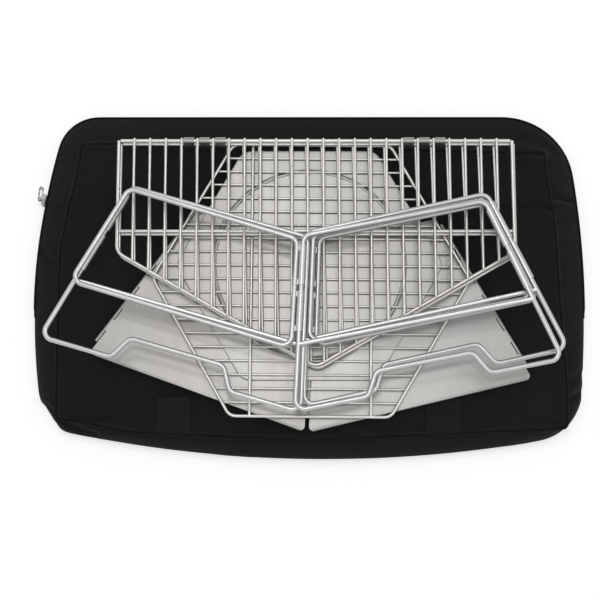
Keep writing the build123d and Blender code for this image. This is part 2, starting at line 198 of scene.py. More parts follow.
def rod_steel_material(name, colour, roughness):
    """Drawn and polished rod with faint stains."""
    sheet = NodeSheet(name)
    place = sheet.coordinates("Object")
    cloud = sheet.noise(place, scale=40.0)
    base = sheet.mix(sheet.contrast(cloud, 0.3, 0.7), shade(colour, 0.9), colour)
    rough = sheet.remap(cloud, roughness - 0.03, roughness + 0.04)
    return sheet.surface(Base_Color=base, Metallic=1.0, Roughness=rough)


def bag_cloth_material(name, colour, pitch):
    """Coarse polyester cloth: plain weave, uneven dye, and a painted highlight that makes the raised lips
    beside the seams paler.
    """
    sheet = NodeSheet(name)
    flat = sheet.coordinates("UV")
    place = sheet.coordinates("Object")
    cloud = sheet.noise(place, scale=11.0, detail=4.0, roughness=0.6)
    slub = sheet.noise(sheet.stretched(flat, scale=(900, 120, 1)), scale=1.0, detail=2.0)
    painted_ridge_highlight = sheet.add("ShaderNodeAttribute", attribute_name="painted_ridge_highlight").outputs["Fac"]
    uneven = sheet.contrast(cloud, 0.3, 0.7)
    dyed = sheet.mix(uneven, shade(colour, 0.78), shade(colour, 1.18))
    # Painted highlight: the cloth is mixed towards a paler grey along the raised seam lips, by the attribute
    # set on their rings.
    base = sheet.mix(painted_ridge_highlight, dyed, shade(colour, 2.1))
    slubbed = sheet.bump(slub, distance=mm(0.2), strength=0.5)
    woven = sheet.bump(sheet.weave(flat, pitch), distance=mm(0.25), strength=0.8, under=slubbed)
    return sheet.surface(Base_Color=base, Roughness=sheet.remap(slub, 0.78, 0.92), Normal=woven,
                         Sheen_Weight=0.08, Sheen_Roughness=0.5, Specular_IOR_Level=0.22)


def strap_material(name, colour):
    """Nylon webbing or zip tape: its ribs are in the shape, and fine threads cross them."""
    sheet = NodeSheet(name)
    place = sheet.coordinates("Object")
    cloud = sheet.noise(place, scale=30.0)
    uneven = sheet.contrast(cloud, 0.2, 0.8)
    base = sheet.mix(uneven, shade(colour, 0.8), shade(colour, 1.2))
    woven = sheet.bump(sheet.weave(place, mm(0.8)), distance=mm(0.3), strength=0.8)
    return sheet.surface(Base_Color=base, Roughness=sheet.remap(cloud, 0.62, 0.78), Normal=woven,
                         Sheen_Weight=0.05, Specular_IOR_Level=0.22)


def thread_material(name, colour):
    """Sewing thread or zip nylon: slightly glossier than the cloth."""
    sheet = NodeSheet(name)
    place = sheet.coordinates("Object")
    twist = sheet.noise(place, scale=1500.0, detail=1.0)
    base = sheet.mix(twist, shade(colour, 0.75), shade(colour, 1.25))
    return sheet.surface(Base_Color=base, Roughness=sheet.remap(twist, 0.45, 0.6), Specular_IOR_Level=0.3)


def zip_metal_material(name, colour):
    """Blackened zip metal, worn bright where it is handled."""
    sheet = NodeSheet(name)
    place = sheet.coordinates("Object")
    wear = sheet.noise(place, scale=260.0)
    base = sheet.mix(sheet.contrast(wear, 0.45, 0.75), colour, shade(colour, 2.4))
    return sheet.surface(Base_Color=base, Metallic=1.0, Roughness=sheet.remap(wear, 0.28, 0.42))


def background_rays(tree):
    """1 for the rays that show the background itself: the camera's, and those in metal and glass."""
    path = tree.nodes.new("ShaderNodeLightPath")
    seen = path.outputs["Is Camera Ray"]
    for ray in ("Is Glossy Ray", "Is Transmission Ray"):
        either = tree.nodes.new("ShaderNodeMath")
        either.operation = "MAXIMUM"
        tree.links.new(seen, either.inputs[0])
        tree.links.new(path.outputs[ray], either.inputs[1])
        seen = either.outputs[0]
    return seen


def floor_material(level, glow):
    """Pale floor that shows white to the camera and keeps the shadow."""
    sheet = NodeSheet("pale_floor")
    diffuse = sheet.add("ShaderNodeBsdfDiffuse")
    diffuse.inputs["Color"].default_value = (level, level, level, 1)
    lit = sheet.add("ShaderNodeEmission")
    sheet.link(sheet.maths("MULTIPLY", background_rays(sheet.tree), glow), lit.inputs["Strength"])
    both = sheet.add("ShaderNodeAddShader")
    sheet.link(diffuse.outputs[0], both.inputs[0])
    sheet.link(lit.outputs[0], both.inputs[1])
    sheet.link(both.outputs[0], sheet.out.inputs["Surface"])
    return sheet.material


def white_world(sky):
    """White to the camera and in the steel, and a plain even light on everything else."""
    world = bpy.data.worlds.new("studio")
    world.use_nodes = True
    tree = world.node_tree
    background = tree.nodes["Background"]
    background.inputs["Color"].default_value = (1, 1, 1, 1)
    level = tree.nodes.new("ShaderNodeMapRange")
    level.inputs["To Min"].default_value = sky
    level.inputs["To Max"].default_value = 1.0
    tree.links.new(background_rays(tree), level.inputs["Value"])
    tree.links.new(level.outputs["Result"], background.inputs["Strength"])
    return world


def link_object(name, mesh, body=None):
    piece = bpy.data.objects.new(name, mesh)
    bpy.context.scene.collection.objects.link(piece)
    if body:
        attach(piece, body)
    return piece


def finish_piece(name, bm, body, slot, material, smooth=True):
    """Turns a bmesh into a piece that rides on a body and has its material."""
    mesh = bpy.data.meshes.new(name)
    for face in bm.faces:
        face.smooth = smooth
    bm.to_mesh(mesh)
    bm.free()
    mesh.materials.append(material)
    piece = link_object(name, mesh, body)
    return piece


def grow_ring(bm, ring, places):
    """Extrudes a closed ring of points to new places and keeps their order."""
    edges = [bm.edges.get((ring[i - 1], ring[i])) for i in range(len(ring))]
    made = bmesh.ops.extrude_edge_only(bm, edges=edges)["geom"]
    fresh = {v for v in made if isinstance(v, bmesh.types.BMVert)}
    following = [next(e.other_vert(v) for e in v.link_edges if e.other_vert(v) in fresh) for v in ring]
    for vert, place in zip(following, places):
        vert.co = place
    return following


def ring_shell(rings):
    """A closed shell through rings of points, from the lowest to the highest, capped at both ends."""
    bm = bmesh.new()
    bm.loops.layers.uv.new("cloth")
    # Each point's share of painted highlight, which pales the cloth on the raised seam lips.
    bm.verts.layers.float.new("painted_ridge_highlight")
    count = len(rings[0])
    start = bmesh.ops.create_circle(bm, cap_ends=False, segments=count, radius=1.0)["verts"]
    for vert, place in zip(start, rings[0]):
        vert.co = place
    grown = [start]
    for places in rings[1:]:
        grown.append(grow_ring(bm, grown[-1], places))
    for ring in (grown[0], grown[-1]):
        bmesh.ops.contextual_create(bm, geom=[bm.edges.get((ring[i - 1], ring[i])) for i in range(count)])
    bmesh.ops.recalc_face_normals(bm, faces=bm.faces)
    return bm, grown


def laid_strip(bm, across, along, place):
    """A strip of cloth from a grid: place gives a point for its share across and along."""
    made = bmesh.ops.create_grid(bm, x_segments=across, y_segments=along, size=1.0)["verts"]
    for vert in made:
        vert.co = place((vert.co.x + 1) / 2, (vert.co.y + 1) / 2)
    return made


def thicken(piece, amount):
    """Gives an open strip its thickness, half to each side."""
    skin = piece.modifiers.new("thickness", "SOLIDIFY")
    skin.thickness = amount
    skin.offset = 0


# Half the width and half the height of a sewing thread as it lies on the cloth.
THREAD_WIDE = mm(0.3)
THREAD_HIGH = mm(0.22)


def ellipsoid(bm, place, sizes):
    """A small bead with its own half lengths: a stitch or one side of a zip coil's turn."""
    bmesh.ops.create_icosphere(bm, subdivisions=1, radius=1.0, matrix=place @ Matrix.Diagonal((*sizes, 1)))


def add_stitch(bm, spot, way, length):
    """One stitch: a small bead of thread that lies along the seam."""
    turn = way.to_track_quat("X", "Z").to_matrix().to_4x4()
    ellipsoid(bm, Matrix.Translation(spot) @ turn, (length / 2, THREAD_WIDE, THREAD_HIGH))


# The bag's outline from above in millimetres, in stretches clockwise from its back left:
# points at the waist that an arc or a line goes through, points of the top seam beside it, and a count.
BAG_STRETCHES = (
    (((-244.3, 197.1), (224.6, 197.3)),
     ((-225, 163), (-60, 160), (205, 153)), 150),
    (((224.6, 197.3), (268.3, 183.9), (303.7, 126.6)),
     ((205, 153), (271, 153), (270, 132)), 52),
    (((303.7, 126.6), (311.4, -58.3), (307.3, -113.7)),
     ((270, 132), (277, 87), (280, 67), (283, -19), (288, -120)), 90),
    (((307.3, -113.7), (302.6, -141.8), (259.2, -177.4)),
     ((288, -120), (287, -163.5), (256, -166)), 40),
    (((259.2, -177.4), (0, -198), (-277.4, -167.4)),
     ((256, -166), (-6, -178), (-200, -169), (-256, -158)), 184),
    (((-277.4, -167.4), (-299.1, -139.9), (-306.1, -128.7)),
     ((-256, -158), (-284.5, -154), (-285, -130)), 28),
    (((-306.1, -128.7), (-313.2, -58.4), (-290.7, 161.3)),
     ((-285, -130), (-285, 38), (-277, 86), (-272, 107), (-265, 146)), 100),
    (((-290.7, 161.3), (-271.8, 188.9), (-244.3, 197.1)),
     ((-265, 146), (-264, 163), (-225, 163)), 36),
)

# Folds and join seams: name of the panel, points in millimetres, half width, depth.
FOLDS = (
    ("top", ((228, 90), (247, 89), (266, 90), (276, 87)), 3.5, 1.6),
    ("top", ((247, 89), (242, 118), (241, 141)), 7.0, 0.8),
    ("top", ((232, 151), (251, 152), (270, 151)), 3.0, 1.6),
    ("top", ((292, -166), (272, -168), (249, -170)), 4.0, 1.2),
    ("top", ((260, -155), (288, -164)), 3.5, 1.2),
    ("top", ((-283, -154), (-244, -155), (-220, -154)), 3.0, 1.6),
    ("top", ((-206, 90), (-235, 30), (-262, -20)), 14.0, 1.2),
    ("top", ((-240, -125), (-205, -140), (-160, -139)), 9.0, 1.0),
    ("top", ((215, -120), (236, -90), (243, -50)), 12.0, 1.0),
    ("side", ((274, 101), (288, 99), (302, 97)), 3.5, 2.0),
    ("side", ((-308, 40), (-295, 24), (-284, 18)), 4.0, 1.6),
    ("side", ((-283, -155), (-266, -163), (-240, -171)), 3.0, 2.0),
    ("side", ((-299, -139), (-283, -155)), 3.5, 2.4),
    ("side", ((290, -134), (308, -122)), 4.0, 1.8),
    ("side", ((291, -113), (307, -102)), 4.0, 1.6),
    ("side", ((231, 175), (270, 162), (280, 152)), 5.0, 1.4),
    ("join", ((279, 70), (309, 74)), 1.3, 1.1),
    ("join", ((-276, 86), (-309, 93)), 1.3, 1.1),
)


def arc_through(points, count):
    """Points along a line or a circular arc, the last one left off."""
    start, end = Vector(points[0]), Vector(points[-1])
    if len(points) == 2:
        return [start.lerp(end, i / count) for i in range(count)]
    middle = Vector(points[1])
    a, b = middle - start, end - start
    twice = 2 * (a.x * b.y - a.y * b.x)
    centre = start + Vector((b.y * a.length_squared - a.y * b.length_squared,
                             a.x * b.length_squared - b.x * a.length_squared)) / twice
    first, last = start - centre, end - centre
    sweep = math.remainder(math.atan2(last.y, last.x) - math.atan2(first.y, first.x), math.tau)
    made = []
    for i in range(count):
        turn = Matrix.Rotation(sweep * i / count, 2)
        made.append(centre + turn @ first)
    return made


def points_along(points, count):
    """Points at even distances along straight runs, the last one left off."""
    knots = [Vector(p) for p in points]
    runs = [(b - a).length for a, b in zip(knots, knots[1:])]
    made = []
    for i in range(count):
        left = sum(runs) * i / count
        for a, b, run in zip(knots, knots[1:], runs):
            if left <= run:
                made.append(a.lerp(b, left / run))
                break
            left -= run
    return made


def smoothed(ring, passes):
    """A closed ring of points, each drawn towards its neighbours."""
    for _ in range(passes):
        ring = [(ring[i - 1] + ring[i] * 2 + ring[(i + 1) % len(ring)]) / 4 for i in range(len(ring))]
    return ring


def inward_normals(ring):
    """At each point of a clockwise ring, the way in."""
    made = []
    for i in range(len(ring)):
        way = ring[(i + 1) % len(ring)] - ring[i - 1]
        made.append(Vector((way.y, -way.x)).normalized())
    return made


def distance_to_runs(point, runs):
    """The distance from a flat point to the nearest straight run of a fold."""
    nearest = math.inf
    for a, b in zip(runs, runs[1:]):
        way = b - a
        share = max(0.0, min(1.0, (point - a).dot(way) / way.length_squared))
        nearest = min(nearest, (a + way * share - point).length)
    return nearest


def soft_step(value):
    """Goes smoothly from 0 to 1 as the value does, and stays there on both sides."""
    value = max(0.0, min(1.0, value))
    return value * value * (3 - 2 * value)


def hill(value):
    """A smooth hill: 1 where the value is 0, and next to nothing past 2 on either side."""
    return math.exp(-value * value)


def ripple(place, waves):
    """Soft noise from -1 to 1 at a place, with so many waves to the metre along each axis."""
    return noise.noise(Vector([along * count for along, count in zip(place, waves)]))


# Waves to the metre in the top cloth: broad, small, and along the seam. The last number picks a pattern.
BROAD_WAVES = (11, 15, 3.1)
SMALL_WAVES = (38, 30, 7.7)
PUCKER_WAVES = (95, 95, 1.3)
# Waves to the metre in the gusset, and how far each kind moves the cloth.
DENT_WAVES = (16, 16, 45)
FINE_WAVES = (60, 60, 90)
DENT_DEPTH = mm(2.0)
FINE_DEPTH = mm(0.5)

# Heights above the ground: the underside, the gusset from its start to its full width, the zip's band, and
# the top seam.
UNDERSIDE = mm(0.5)
GUSSET_START = mm(3)
GUSSET_FULL = mm(12)
ZIP_LOW = mm(13.5)
ZIP_MIDDLE = mm(15)
ZIP_HIGH = mm(16.5)
TOP_SEAM = mm(27.2)
# The top cloth lies just under the load.
CLOTH_TOP = BAG_TOP - mm(0.15)
# Dents fade out this near to the zip's middle, where its tape holds the gusset straight.
ZIP_HOLD = mm(9)

# The load is looked for this far over the bag. Cloth this near to it is flat, and this much further out it
# has its full sag.
LOAD_LOOK = mm(2)
LOAD_NEAR = mm(2.2)
SAG_REACH = mm(55)
# The top seam puckers the cloth beside it, and a low welt runs along it.
PUCKER_REACH = mm(9)
PUCKER_HEIGHT = mm(0.5)
WELT_PLACE = mm(4)
WELT_HALF = mm(3.5)
WELT_HEIGHT = mm(1.1)

# A fold is felt to this distance from its first point, and has a ridge on each side, two half widths out.
FOLD_REACH = mm(90)
FOLD_STRENGTH = 2.0
RIDGE_SHARE = 0.35
RIDGE_PLACE = 2.0

# The waist is drawn in or out beside the slider until it stands this far behind the slider's inner face, and
# less and less within this reach on both sides. The bag's left side is straight enough for this up to its
# end.
SLIDER_GAP = mm(0.9)
SLIDER_REACH = mm(45)
LEFT_SIDE_END = mm(150)

# The shell's rings: the panels' ones are shares of the way from the bag's middle out to the seam, and the
# gusset's ones shares of the way up.
BAG_MIDDLE = Vector((0.0, mm(-5)))
UNDERSIDE_SHARES = (0.08, 0.3, 0.52, 0.72, 0.86, 0.95)
LOWER_SHARES = (0.2, 0.42, 0.64, 0.84)
UPPER_SHARES = (0.07, 0.16, 0.27, 0.39, 0.52, 0.65, 0.78, 0.9)
TOP_FIRST_STEP = 0.0145
TOP_STEP_GROWTH = 1.06
TOP_LARGEST_STEP = 0.045
TOP_LAST_SHARE = 0.07
# The two sewn seams, ring by ring on the way over the shell: how far in from the seam and how high, both in
# millimetres, the panel, and how much painted highlight makes its cloth paler. The lower heights are above
# the ground, the upper ones above the top cloth.
LOWER_LIPS = ((0.4, 1.6, "under", 0.2), (0.0, 2.4, "under", 0.4),
              (-0.8, 1.9, "side", 0.4), (-1.4, 3.0, "side", 0.1))
UPPER_LIPS = ((-2.2, 0.5, "side", 0.1), (-1.1, 1.0, "side", 0.35), (-0.3, -1.7, "side", 0.0),
              (0.5, -1.7, "top", 0.0), (1.4, 0.9, "top", 0.35), (2.6, 0.8, "top", 0.1))
# The lips take the height of the cloth this far in from the seam.
LIP_LOOK = mm(3)


class BagShape:
    """Where the bag's cloth lies: its rings, the sag beside the load, the folds and the puckers."""

    def __init__(self, settings):
        self.settings = settings
        waist, seam = [], []
        for arc, beside, count in BAG_STRETCHES:
            waist += [p / 1000 for p in arc_through(arc, count)]
            seam += [p / 1000 for p in points_along(beside, count)]
        self.waist = smoothed(self.meet_slider(waist), 6)
        self.seam = smoothed(seam, 6)
        self.count = len(self.waist)
        self.normals = inward_normals(self.waist)
        self.seam_normals = inward_normals(smoothed(self.seam, 12))
        self.folds = [(panel, [Vector(p) / 1000 for p in points], mm(half), mm(depth))
                      for panel, points, half, depth in FOLDS]
        load = bmesh.new()
        for node in ("wall_panel_a", "wall_panel_b", "wall_panel_f", "wall_panel_e"):
            load.from_mesh(frame["nodes"][node].data)
        self.load = BVHTree.FromBMesh(load)
        load.free()

    def meet_slider(self, ring):
        """Draws the zip's side in or out near the slider, so that the slider sits on it."""
        middle = (SLIDER_LOW[1] + SLIDER_HIGH[1]) / 2
        left_side = [p for p in ring if p.x < 0 and p.y < LEFT_SIDE_END]
        near = min(left_side, key=lambda p: abs(p.y - middle))
        shift = SLIDER_HIGH[0] + SLIDER_GAP - near.x
        moved = []
        for p in ring:
            drawn = shift * hill((p.y - middle) / SLIDER_REACH) if p.x < 0 else 0.0
            moved.append(p + Vector((drawn, 0)))
        return moved

    def fold_depth(self, point, panels):
        """How far the cloth sinks at its folds, with a low ridge beside each."""
        sunk = 0.0
        for panel, runs, half, depth in self.folds:
            if panel in panels and (point - runs[0]).length < FOLD_REACH + half * 4:
                reach = distance_to_runs(point, runs) / half
                sunk += FOLD_STRENGTH * depth * (hill(reach) - RIDGE_SHARE * hill(reach - RIDGE_PLACE))
        return sunk

    def top_height(self, point, from_seam):
        """The height of the top panel's cloth. It is flat under the load and sags beside it."""
        away = self.load.find_nearest(Vector((point.x, point.y, BAG_TOP + LOAD_LOOK)))[3] - LOAD_NEAR
        bare = soft_step(away / SAG_REACH)
        height = CLOTH_TOP - self.settings.sag * bare
        flat = (point.x, point.y, 1.0)
        waves = ripple(flat, BROAD_WAVES) + 0.45 * ripple(flat, SMALL_WAVES)
        height += bare * self.settings.wrinkle * waves
        height += math.exp(-from_seam / PUCKER_REACH) * PUCKER_HEIGHT * ripple(flat, PUCKER_WAVES)
        height += WELT_HEIGHT * hill((from_seam - WELT_PLACE) / WELT_HALF) * (0.4 + 0.6 * bare)
        height -= bare * self.fold_depth(point, ("top",))
        return min(height, CLOTH_TOP)

    def rings(self):
        """The shell's rings from the middle of the underside, over the sides, to the middle of the top.
        With them, for each ring, the cloth panel it belongs to and how much painted highlight it has."""
        rings, marks = [], []

        def add(points, heights, panel, painted_ridge_highlight):
            rings.append([Vector((p.x, p.y, z)) for p, z in zip(points, heights)])
            marks.append((panel, painted_ridge_highlight))

        foot = [w + n * self.settings.foot_inset for w, n in zip(self.waist, self.normals)]
        for share in UNDERSIDE_SHARES:
            add([BAG_MIDDLE.lerp(p, share) for p in foot], [UNDERSIDE] * self.count, "under", 0.0)
        for inset, height, panel, painted_ridge_highlight in LOWER_LIPS:
            points = [p + n * mm(inset) for p, n in zip(foot, self.normals)]
            add(points, [mm(height)] * self.count, panel, painted_ridge_highlight)
        for share in LOWER_SHARES:
            bulge = math.sin(share * math.pi / 2)
            points = [p.lerp(w, bulge) for p, w in zip(foot, self.waist)]
            self.add_side(add, points, GUSSET_START + (GUSSET_FULL - GUSSET_START) * share)
        self.add_side(add, self.waist, ZIP_LOW)
        self.add_side(add, self.waist, ZIP_HIGH)
        for share in UPPER_SHARES:
            bulge = soft_step(share) * 0.35 + share * 0.65
            rise = math.sin(math.pi / 2 * min(1.0, share * 1.08)) ** 0.8
            points = [w.lerp(s, bulge) for w, s in zip(self.waist, self.seam)]
            self.add_side(add, points, ZIP_HIGH + (TOP_SEAM - ZIP_HIGH) * rise)
        for inset, rise, panel, painted_ridge_highlight in UPPER_LIPS:
            points = [s + n * mm(inset) for s, n in zip(self.seam, self.seam_normals)]
            heights = [min(self.top_height(p, LIP_LOOK) + mm(rise), CLOTH_TOP) for p in points]
            add(points, heights, panel, painted_ridge_highlight)
        inner = points
        share, step = 1.0, TOP_FIRST_STEP
        while share > TOP_LAST_SHARE:
            share -= step
            step = min(step * TOP_STEP_GROWTH, TOP_LARGEST_STEP)
            points = [BAG_MIDDLE.lerp(p, share) for p in inner]
            heights = [self.top_height(p, (p - s).length) for p, s in zip(points, self.seam)]
            add(points, heights, "top", 0.0)
        return rings, marks

    def add_side(self, add, points, height):
        """One ring of the gusset, with its folds, its join seams and soft dents."""
        free = soft_step(abs(height - ZIP_MIDDLE) / ZIP_HOLD)
        above_zip = 1 if height > ZIP_MIDDLE else 0
        moved, heights = [], []
        for p, n in zip(points, self.normals):
            sunk = self.fold_depth(p, ("side", "join"))
            dent = ripple((p.x, p.y, height), DENT_WAVES) * DENT_DEPTH
            fine = ripple((p.x, p.y, height), FINE_WAVES) * FINE_DEPTH
            moved.append(p + n * (sunk * 0.6 * (0.25 + 0.75 * free) + (dent + fine) * free))
            heights.append(height - sunk * 0.7 * free + (dent * 0.4 + fine) * free * above_zip)
        add(moved, heights, "side", 0.0)


# How the gusset's map runs up: by height, and a little by the place front to back.
MAP_RISE = 1.6
MAP_LEAN = 0.2


def cloth_map(bm, grown, marks, shape):
    """A flat map in metres: from above for the panels, along and across for the sides."""
    uv = bm.loops.layers.uv["cloth"]
    painted_ridge_highlight = bm.verts.layers.float["painted_ridge_highlight"]
    along = [0.0]
    for i in range(1, shape.count):
        along.append(along[-1] + (shape.waist[i] - shape.waist[i - 1]).length)
    spot = {}
    for (panel, highlight_share), ring in zip(marks, grown):
        for i, vert in enumerate(ring):
            # Each ring's share of painted highlight, which pales the cloth on the raised seam lips.
            vert[painted_ridge_highlight] = highlight_share
            spot[vert] = (panel, i)
    for face in bm.faces:
        sides = [spot[v] for v in face.verts]
        upright = all(panel == "side" for panel, _ in sides)
        wraps = max(i for _, i in sides) - min(i for _, i in sides) > 2
        for loop, (panel, i) in zip(face.loops, sides):
            place = loop.vert.co
            if upright:
                run = along[i] + (along[-1] if wraps and i == 0 else 0.0)
                loop[uv].uv = (run, place.z * MAP_RISE + abs(place.y) * MAP_LEAN)
            else:
                loop[uv].uv = (place.x, place.y)


def number_setting(name, description, default, **more):
    """A setting that is a number."""
    return bpy.props.FloatProperty(name=name, description=description, default=default, **more)


def length_setting(name, description, default):
    """A setting that is a length in metres."""
    return number_setting(name, description, default, unit="LENGTH")


def angle_setting(name, description, default):
    """A setting that is an angle in radians."""
    return number_setting(name, description, default, subtype="ANGLE")


def colour_setting(name, description, default):
    """A setting that is a colour."""
    return bpy.props.FloatVectorProperty(
        name=name, description=description, default=default, subtype="COLOR", size=3, min=0, max=1)


class BagSettings(bpy.types.PropertyGroup):
    colour: colour_setting("Cloth colour", "The dye of the bag's cloth", (0.0094, 0.0093, 0.0096))
    weave: length_setting("Thread pitch", "From thread to thread of the cloth", mm(0.7))
    foot_inset: length_setting("Foot inset", "How far the lower seam stands in from the waist", mm(9))
    sag: length_setting("Sag", "How far the top cloth sinks beside the load", mm(3.2))
    wrinkle: length_setting("Wrinkle", "Height of the top cloth's soft waves", mm(1.5))
    stitch: length_setting("Stitch", "From stitch to stitch along a seam", mm(3.4))


class BAG_OT_shell(bpy.types.Operator):
    """Makes the soft bag: underside, sides and top panel, with seams, folds and sag"""
    bl_idname = "fire_bowl.bag"
    bl_label = "Bag cloth"

    def execute(self, context):
        settings = context.scene.fire_bowl_bag
        shape = BagShape(settings)
        rings, marks = shape.rings()
        bm, grown = ring_shell(rings)
        cloth_map(bm, grown, marks, shape)
        # The two end faces become fans, which have no flat slivers when they are cut into triangles.
        bmesh.ops.poke(bm, faces=[face for face in bm.faces if len(face.verts) > 4])
        cloth = bag_cloth_material("bag_cloth", tuple(settings.colour), settings.weave)
        bag = finish_piece("soft_bag", bm, "bag", "bag_cloth", cloth)
        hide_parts("bag_body")
        return {"FINISHED"}


# The stitches beside the top seam: how far in they lie, how much of the pitch shows, and their lift.
STITCH_INSET = mm(4.2)
STITCH_SHARE = 0.68
STITCH_LIFT = mm(0.02)
BAG_THREAD = (0.024, 0.024, 0.025)


class BAG_OT_stitches(bpy.types.Operator):
    """Makes the row of stitches beside the top seam"""
    bl_idname = "fire_bowl.stitches"
    bl_label = "Seam stitches"

    def execute(self, context):
        settings = context.scene.fire_bowl_bag
        shape = BagShape(settings)
        rows = bmesh.new()
        row = [s + n * STITCH_INSET for s, n in zip(shape.seam, shape.seam_normals)]
        left = 0.0
        for spot, after in zip(row, row[1:] + row[:1]):
            way = after - spot
            left += way.length
            while left >= settings.stitch:
                left -= settings.stitch
                middle = (spot + after) / 2
                height = shape.top_height(middle, STITCH_INSET) + STITCH_LIFT
                add_stitch(rows, middle.to_3d() + Vector((0, 0, height)), way.to_3d(),
                           settings.stitch * STITCH_SHARE)
        thread = thread_material("bag_thread", BAG_THREAD)
        finish_piece("seam_stitches", rows, "bag", "bag_cloth", thread)
        return {"FINISHED"}


class WebbingSettings(bpy.types.PropertyGroup):
    colour: colour_setting("Webbing colour", "The dye of the two straps", (0.0066, 0.0066, 0.0069))
    rib: length_setting("Rib pitch", "From rib to rib across the strap", mm(2.4))
    rib_height: length_setting("Rib height", "How far a rib stands up", mm(0.3))
    fold: length_setting("Fold", "How much of the strap's end is turned under", mm(9))


# A strap's cloth: its thickness, its lift over the bag, how far it runs on over the front seam, and how far
# from the seam the cloth under it counts as lying.
STRAP_THICK = mm(0.9)
STRAP_LIFT = mm(1.15)
STRAP_RUN_ON = mm(5)
STRAP_FROM_SEAM = mm(30)
# Its small flaws: a drift to one side, a low wave, thinner edges, the step of the folded end, and the dip
# over the front seam in its last share.
STRAP_DRIFT = mm(0.7)
STRAP_WAVE = mm(0.25)
STRAP_EDGE = mm(0.5)
STRAP_FOLD = mm(0.45)
STRAP_FOLD_SLOPE = mm(1.5)
STRAP_DIP = mm(1.6)
STRAP_DIP_START = 0.86
# The box of stitches with its cross, as shares across and along a strap, and its stitches.
STITCHED_BOX = ((0.08, 0.04), (0.92, 0.04), (0.92, 0.3), (0.08, 0.3),
                (0.08, 0.04), (0.92, 0.3), (0.92, 0.04), (0.08, 0.3))
BOX_STITCH = mm(2.4)
BOX_STITCH_LENGTH = mm(1.6)
STRAP_THREAD = (0.03, 0.03, 0.032)


class BAG_OT_webbing(bpy.types.Operator):
    """Makes the two ribbed straps that are sewn onto the front of the bag"""
    bl_idname = "fire_bowl.webbing"
    bl_label = "Webbing"

    def execute(self, context):
        settings = context.scene.fire_bowl_webbing
        shape = BagShape(context.scene.fire_bowl_bag)
        material = strap_material("strap_cloth", tuple(settings.colour))
        thread = thread_material("strap_thread", STRAP_THREAD)
        for node in ("webbing_left", "webbing_right"):
            low, high = (Vector(corner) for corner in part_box(node))
            width, length = high.x - low.x, high.y - low.y + STRAP_RUN_ON

            def place(across, along):
                spot = Vector((low.x + width * across, high.y - length * along))
                spot.x += STRAP_DRIFT * math.sin(along * 2.6)
                rib = settings.rib_height * (0.5 + 0.5 * math.cos(across * width / settings.rib * math.tau))
                edge = STRAP_EDGE * soft_step((abs(across - 0.5) - 0.46) / 0.04)
                turned = STRAP_FOLD * soft_step((settings.fold - along * length) / STRAP_FOLD_SLOPE)
                wave = STRAP_WAVE * math.sin(along * 9 + across * 3)
                dip = STRAP_DIP * soft_step((along - STRAP_DIP_START) / (1 - STRAP_DIP_START))
                height = shape.top_height(spot, STRAP_FROM_SEAM) + STRAP_LIFT
                return Vector((spot.x, spot.y, height + rib - edge + turned + wave - dip))

            side = node.split("_")[1]
            bm = bmesh.new()
            laid_strip(bm, 96, 40, place)
            strap = finish_piece("strap_" + side, bm, "bag", "webbing", material)
            thicken(strap, STRAP_THICK)
            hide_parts(node)
            rows = bmesh.new()
            for a, b in zip(STITCHED_BOX, STITCHED_BOX[1:]):
                way = Vector(((b[0] - a[0]) * width, (a[1] - b[1]) * length, 0))
                steps = round(way.length / BOX_STITCH)
                for i in range(steps):
                    across, along = Vector(a).lerp(Vector(b), (i + 0.5) / steps)
                    add_stitch(rows, place(across, along), way, BOX_STITCH_LENGTH)
            finish_piece("strap_stitches_" + side, rows, "bag", "webbing", thread)
        return {"FINISHED"}


class ZipSettings(bpy.types.PropertyGroup):
    tape: length_setting("Tape", "Height of the zip's tape", mm(9))
    pitch: length_setting("Coil pitch", "From one turn of the coil to the next", mm(2.0))
    end: length_setting("Zip end", "Where the zip stops, across the bag's middle", mm(-41))


# The zip's tape: its thickness, how far it stands out, its two ridges, placed by a share of its height from
# the middle, how far its edges turn in, and how deep and over what share of its length its ends sink.
TAPE_THICK = mm(0.4)
TAPE_OUT = mm(0.55)
TAPE_RIDGE = mm(0.45)
TAPE_RIDGE_PLACE = 0.32
TAPE_RIDGE_HALF = 0.08
TAPE_EDGE = mm(0.9)
TAPE_END_DEPTH = mm(0.6)
TAPE_END_SHARE = 0.012
TAPE_COLOUR = (0.009, 0.009, 0.0095)
# The coil: half lengths of one bead, how far it stands out, and its place above or below the middle.
COIL_BEAD = (mm(0.6), mm(0.55), mm(1.1))
COIL_OUT = mm(0.75)
COIL_SIDE = mm(0.7)
COIL_COLOUR = (0.014, 0.014, 0.015)


